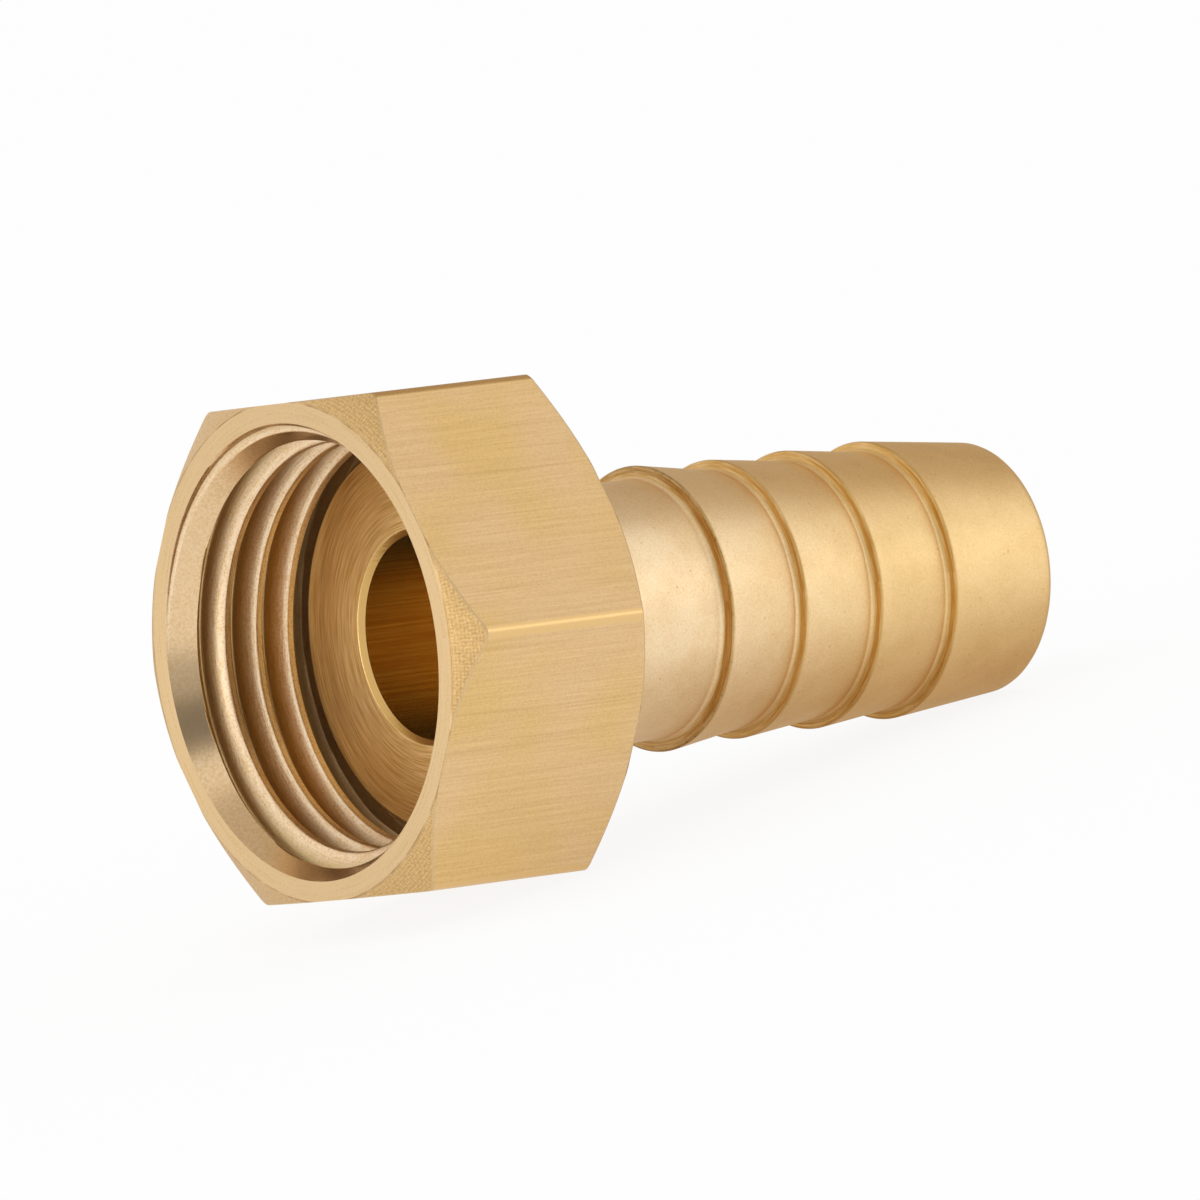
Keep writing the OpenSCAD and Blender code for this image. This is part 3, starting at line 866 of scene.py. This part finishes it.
class OBJECT_OT_hose_union_nut(bpy.types.Operator):
    """Makes the union nut: drawn hexagon outside, countersink and helical thread inside"""

    bl_idname = "object.hose_union_nut"
    bl_label = "Union nut"

    def execute(self, context):
        sizes, thread = context.scene.hose_nut, context.scene.hose_thread
        tones = context.scene.hose_brass
        drawn, turned = drawn_bar_brass(tones), turned_face_brass(tones, sizes.front_ring_d / 2)
        cut, sunk = cut_thread_brass(tones, thread), countersink_brass(tones)
        chamfered, edge = rippled_chamfer_brass(tones), burnished_edge_brass(tones)

        carrier = new_object("bore_carrier", bpy.data.meshes.new("bore_carrier"))
        bore = run_tree(carrier, threaded_bore_tree(), {
            "Pitch": thread.pitch, "Crest radius": thread.crest_d / 2, "Root radius": thread.root_d / 2,
            "Flank": thread.flank, "Crest share": thread.crest_share, "Start": thread.start,
            "Root rounding": thread.root_round, "Crest rounding": thread.crest_round,
            "Mouth radius": thread.mouth_d / 2, "Mouth half angle": thread.mouth_half,
            "Bore end": FACE_AT, "Relief start": sizes.relief_at, "Relief radius": sizes.relief_d / 2,
            "Segments": thread.segments, "Pitch steps": thread.pitch_steps,
            "Thread": cut, "Countersink": sunk})
        bpy.data.objects.remove(carrier)

        relief_r, hole_r = sizes.relief_d / 2, sizes.hole_d / 2
        rear = [
            (sizes.relief_at, relief_r), (sizes.seat_at, relief_r),
            (sizes.seat_at, hole_r + sizes.hole_chamfer), (sizes.seat_at + sizes.hole_chamfer, hole_r),
            (NUT_LEN - sizes.hole_chamfer, hole_r), (NUT_LEN, hole_r + sizes.hole_chamfer),
            (NUT_LEN, hole_r + 3 * sizes.hole_chamfer)]
        rows = [(s, r, 0) for s, r in ease(rear, sizes.edge_break)]
        rear_mesh = turned_mesh("nut_rear", rows, thread.segments, False, {"Turned": turned})

        shape = bmesh.new()
        shape.from_mesh(bore)
        order = [m and m.name for m in bore.materials]
        mesh = bpy.data.meshes.new("union_nut_machined")
        for material in (cut, sunk, turned, drawn, chamfered, edge):
            mesh.materials.append(material)
        places = {m.name: i for i, m in enumerate(mesh.materials)}
        for face in shape.faces:
            face.material_index = places[order[face.material_index]]
        bore_faces = len(shape.faces)
        shape.from_mesh(rear_mesh)
        shape.faces.ensure_lookup_table()
        for face in shape.faces[bore_faces:]:
            face.material_index = places[turned.name]
        bmesh.ops.remove_doubles(shape, verts=shape.verts, dist=2 * MERGE)
        front_in, back_in = rim_loop(shape, 0.0), rim_loop(shape, NUT_LEN)
        front_out, back_out = outside_shell(shape, sizes, {
            "drawn": places[drawn.name], "turned": places[turned.name],
            "chamfer": places[chamfered.name], "edge": places[edge.name]})
        zip_ring(shape, front_in, front_out, places[turned.name])
        zip_ring(shape, back_in, back_out, places[turned.name])
        shape.to_mesh(mesh)
        shape.free()
        nut = new_object("union_nut_machined", mesh)
        finish_mesh(nut)
        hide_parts("union_nut")
        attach(nut, "nut")
        return {"FINISHED"}


# Hose tail

# Numbers of its finishes in the profile
BLASTED, FACED, REAMED = range(3)
# Plain parts of the profile beside a curve: before the first barb, inside the lip, and in the waterway
BEFORE_BARB, INSIDE_LIP, IN_WATERWAY = 1.2 * MM, 0.1 * MM, 1.0 * MM


def barb_rows(sizes, i):
    """Profile of one barb: foot radius, square shoulder, crest radius. A low step shares them out."""
    at = FACE_AT + sizes.first_barb_at + i * sizes.barb_pitch
    crest = (sizes.first_barb_d if i == 0 else sizes.barb_d) / 2
    foot = (sizes.shank_d if i == 0 else sizes.barb_root_d) / 2
    foot_r = min(sizes.foot_r, (crest - foot) * 0.65)
    crest_r = min(sizes.crest_r, (crest - foot) * 0.35)
    rows = arc((at - foot_r, foot + foot_r), foot_r, -90, 0)
    return rows + arc((at + crest_r, crest - crest_r), crest_r, 180, 90)


def tail_rows(sizes):
    """The whole profile of the tail, from the sealing face round to the waterway, with finish numbers."""
    flange, neck, shank = sizes.flange_d / 2, sizes.neck_d / 2, sizes.shank_d / 2
    bore, lip = sizes.bore_d / 2, sizes.tip_d / 2
    seat = FACE_AT + sizes.flange_t
    rim = sizes.flange_chamfer
    neck_end = seat + sizes.neck_len
    face_rows = ease([
        (FACE_AT + sizes.bore_chamfer, bore), (FACE_AT, bore + sizes.bore_chamfer),
        (FACE_AT, flange - rim), (FACE_AT + rim, flange), (seat - rim, flange), (seat, flange - rim),
        (seat, neck), (neck_end, neck), (neck_end + neck - shank, shank),
        (FACE_AT + sizes.first_barb_at - BEFORE_BARB, shank)], sizes.edge_break)
    outside = [row for i in range(sizes.barb_count) for row in barb_rows(sizes, i)]
    outside += arc((TIP_AT - sizes.tip_r, lip - sizes.tip_r), sizes.tip_r, 90, 0)
    outside += ease([
        (TIP_AT, lip - sizes.tip_r - INSIDE_LIP), (TIP_AT, bore + sizes.bore_chamfer),
        (TIP_AT - sizes.bore_chamfer, bore), (TIP_AT - IN_WATERWAY, bore)], sizes.edge_break)
    # Where the sealing face starts, and where it ends on the flange
    turned = next(i for i, row in enumerate(face_rows) if row[1] >= bore + sizes.bore_chamfer)
    split = next(i for i, row in enumerate(face_rows) if row[0] > seat - rim)
    rows = [(s, r, REAMED) for s, r in face_rows[:turned]]
    rows += [(s, r, FACED) for s, r in face_rows[turned:split]]
    rows += [(s, r, BLASTED) for s, r in face_rows[split:] + outside]
    # The last row closes the waterway
    rows[-1] = (*rows[-1][:2], REAMED)
    return rows


class OBJECT_OT_hose_tail(bpy.types.Operator):
    """Makes the hose tail: turned sealing face, blasted shank, barbs and lip, and the waterway"""

    bl_idname = "object.hose_tail"
    bl_label = "Hose tail"

    def execute(self, context):
        sizes, tones = context.scene.hose_tail, context.scene.hose_brass
        finishes = {
            "Blasted": blasted_brass(tones, sizes), "Faced": faced_brass(tones),
            "Reamed": reamed_brass(tones, sizes.bore_chamfer)}
        mesh = turned_mesh("hose_tail", tail_rows(sizes), sizes.segments, True, finishes)
        tail = new_object("hose_tail_finished", mesh)
        finish_mesh(tail)
        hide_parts("hose_tail")
        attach(tail, "tail")
        return {"FINISHED"}


# Stage

# Soft square lights, 0.9 m away: name, direction from the object, size in metres, radiance
LAMPS = (
    ("right_softbox", (0.62, -0.77, 0.04), 0.4, 0.6),
    ("left_softbox", (-0.94, 0.26, 0.12), 0.55, 1.5),
)
LAMP_DISTANCE = 0.9
# Plain cards: name, direction from the object, distance and size in metres, linear tone
CARDS = (
    ("back_card", (0.75, 0.38, 0.50), 0.8, 1.0, (0.47, 0.38, 0.28)),
    ("top_card", (0.15, 0.10, 1.0), 0.8, 0.9, (0.62, 0.58, 0.52)),
    ("camera_card", (-0.29, -0.80, 0.52), 0.8, 0.36, (0.16, 0.16, 0.16)),
    ("tripod_card", (-0.40, -0.90, 0.14), 0.82, 0.3, (0.5, 0.5, 0.5)),
)
WHITE = (1.0, 1.0, 1.0)
# The floor is a square of 8 m. Its paint is pale, and where it is seen it shows its own tone by FLOOR_SEEN
FLOOR_SIZE = 8.0
FLOOR_PAINT = 0.93
FLOOR_SEEN = 0.88
# Mirrors see a painted shadow on the floor under the tail, of this linear tone
FLOOR_MIRRORED_SHADOW = (0.55, 0.45, 0.35)
# The painted shadow sets in between these places along X and along Y
SHADOW_FROM_X = (-26 * MM, 4 * MM)
SHADOW_FROM_Y = (-16 * MM, -3 * MM)
# Strength of the world where it only lights things. Where it is seen it is white, at 1
WORLD_FILL = 0.95


def camera_frame(stage):
    """Rotation of the camera: it looks along its azimuth, down by the drop, and leans by the roll."""
    forward = Vector((
        math.sin(stage.azimuth) * math.cos(stage.drop),
        math.cos(stage.azimuth) * math.cos(stage.drop), -math.sin(stage.drop)))
    level = forward.cross(Vector((0, 0, 1))).normalized()
    upright = level.cross(forward)
    right = level * math.cos(stage.roll) - upright * math.sin(stage.roll)
    up = right.cross(forward)
    return forward, Matrix((right, up, -forward)).transposed().to_4x4()


def facing(target, direction, distance):
    """Place of a lamp or card that stands off the target and faces it."""
    direction = Vector(direction).normalized()
    turn = direction.to_track_quat("Z", "Y").to_matrix().to_4x4()
    return Matrix.Translation(target + direction * distance) @ turn


def square_mesh(name, size, material):
    """A flat square about the origin, facing up."""
    mesh = bpy.data.meshes.new(name)
    half = size / 2
    corners = [(-half, -half, 0), (half, -half, 0), (half, half, 0), (-half, half, 0)]
    mesh.from_pydata(corners, [], [(0, 1, 2, 3)])
    mesh.materials.append(material)
    return mesh


def add_lamp(name, place, size, radiance):
    """A square soft light. Its radiance is what a mirror would show."""
    data = bpy.data.lights.new(name, "AREA")
    data.shape = "SQUARE"
    data.size = size
    data.energy = radiance * math.pi * size ** 2
    lamp = new_object(name, data)
    lamp.matrix_world = place
    lamp.visible_camera = False


def add_card(name, place, size, tone):
    """A plain card that only the metal mirrors, so that it shows where the studio is darker."""
    material, tree = new_material(name)
    plain = add(tree, "ShaderNodeEmission", {"Color": tone, "Strength": 1.0})
    add(tree, "ShaderNodeOutputMaterial", [plain])
    mesh = square_mesh(name, size, material)
    mesh.transform(place)
    card = new_object(name, mesh)
    card.visible_camera = card.visible_diffuse = False


def seen_directly(tree):
    """1 where the camera looks, or a mirror or glass does, and 0 for light that only falls on things."""
    path = add(tree, "ShaderNodeLightPath").outputs
    seen = add(tree, MATH, [path["Is Camera Ray"], path["Is Glossy Ray"]], operation="MAXIMUM")
    return add(tree, MATH, [seen, path["Is Transmission Ray"]], operation="MAXIMUM")


class SCENE_OT_hose_stage(bpy.types.Operator):
    """Sets the camera, the pale floor and the soft studio light"""

    bl_idname = "scene.hose_stage"
    bl_label = "Stage"

    def execute(self, context):
        scene, stage = context.scene, context.scene.hose_stage
        scene.view_settings.view_transform = "Standard"
        forward, turn = camera_frame(stage)
        aim = Vector((stage.aim_x, stage.aim_y, stage.aim_z))
        data = bpy.data.cameras.new("camera")
        data.sensor_fit = "HORIZONTAL"
        data.angle = stage.field
        data.clip_end = 20
        camera = new_object("camera", data)
        camera.matrix_world = Matrix.Translation(aim - forward * stage.distance) @ turn
        scene.camera = camera
        for name, direction, size, radiance in LAMPS:
            add_lamp(name, facing(aim, direction, LAMP_DISTANCE), size, radiance)
        for name, direction, distance, size, tone in CARDS:
            add_card(name, facing(aim, direction, distance), size, tone)
        self.floor()
        self.world(scene)
        return {"FINISHED"}

    def floor(self):
        """A plain pale floor that keeps the soft shadow. Mirrors see a painted shadow on it under the tail."""
        material, tree = new_material("pale_floor")
        place = add(tree, "ShaderNodeTexCoord").outputs["Object"]
        place = add(tree, "ShaderNodeSeparateXYZ", [place]).outputs
        # Painted shadow under the tail, which only mirrors see
        mirrored_shadow = add(tree, "ShaderNodeLightPath").outputs["Is Glossy Ray"]
        for side, (start, full) in (("X", SHADOW_FROM_X), ("Y", SHADOW_FROM_Y)):
            under = add(tree, MAP_RANGE, [place[side], start, full, 0.0, 1.0])
            mirrored_shadow = add(tree, MATH, [mirrored_shadow, under], operation="MULTIPLY")
        tone = add(tree, MIX, {"Factor": mirrored_shadow, "A": WHITE, "B": FLOOR_MIRRORED_SHADOW}, data_type="RGBA")
        pale = add(tree, VECTOR_MATH, {"Vector": tone, "Scale": FLOOR_PAINT}, operation="SCALE")
        paint = add(tree, "ShaderNodeBsdfDiffuse", {"Color": pale})
        glow = add(tree, "ShaderNodeEmission", {"Color": tone, "Strength": 1.0})
        seen = add(tree, MATH, [seen_directly(tree), FLOOR_SEEN], operation="MULTIPLY")
        mixed = add(tree, "ShaderNodeMixShader", [seen, paint, glow])
        add(tree, "ShaderNodeOutputMaterial", [mixed])
        # Its glow shows where it is seen, and isn't used as a lamp
        material.cycles.emission_sampling = "NONE"
        new_object("floor", square_mesh("floor", FLOOR_SIZE, material))

    def world(self, scene):
        """White where it is seen, and a plain soft fill for the rest."""
        world = bpy.data.worlds.new("studio")
        scene.world = world
        world.use_nodes = True
        tree = world.node_tree
        tree.nodes.clear()
        strength = add(tree, MAP_RANGE, [seen_directly(tree), 0.0, 1.0, WORLD_FILL, 1.0])
        back = add(tree, "ShaderNodeBackground", {"Color": WHITE, "Strength": strength})
        add(tree, "ShaderNodeOutputWorld", [back])


class VIEW3D_PT_hose_connector(bpy.types.Panel):
    """Lists the pieces of the hose connector"""

    bl_label = "Hose connector"
    bl_space_type = "VIEW_3D"
    bl_region_type = "UI"
    bl_category = "Hose connector"

    def draw(self, context):
        for operator in (SCENE_OT_hose_stage, OBJECT_OT_hose_union_nut, OBJECT_OT_hose_tail):
            self.layout.operator(operator.bl_idname)
        for group in ("hose_nut", "hose_thread", "hose_tail", "hose_brass", "hose_stage"):
            box = self.layout.box()
            holder = getattr(context.scene, group)
            for name in holder.bl_rna.properties.keys():
                if name not in ("rna_type", "name"):
                    box.prop(holder, name)


GROUPS = {
    "hose_nut": HoseNutSizes, "hose_thread": HoseThreadSizes, "hose_tail": HoseTailSizes,
    "hose_brass": HoseBrassColours, "hose_stage": HoseStage}
CLASSES = (
    *GROUPS.values(), OBJECT_OT_hose_union_nut, OBJECT_OT_hose_tail, SCENE_OT_hose_stage,
    VIEW3D_PT_hose_connector)


def register():
    for item in CLASSES:
        bpy.utils.register_class(item)
    for name, group in GROUPS.items():
        setattr(bpy.types.Scene, name, PointerProperty(type=group))


def unregister():
    for name in GROUPS:
        delattr(bpy.types.Scene, name)
    for item in reversed(CLASSES):
        bpy.utils.unregister_class(item)


def main():
    register()
    bpy.ops.scene.hose_stage()
    bpy.ops.object.hose_union_nut()
    bpy.ops.object.hose_tail()


if __name__ == "__main__":
    main()
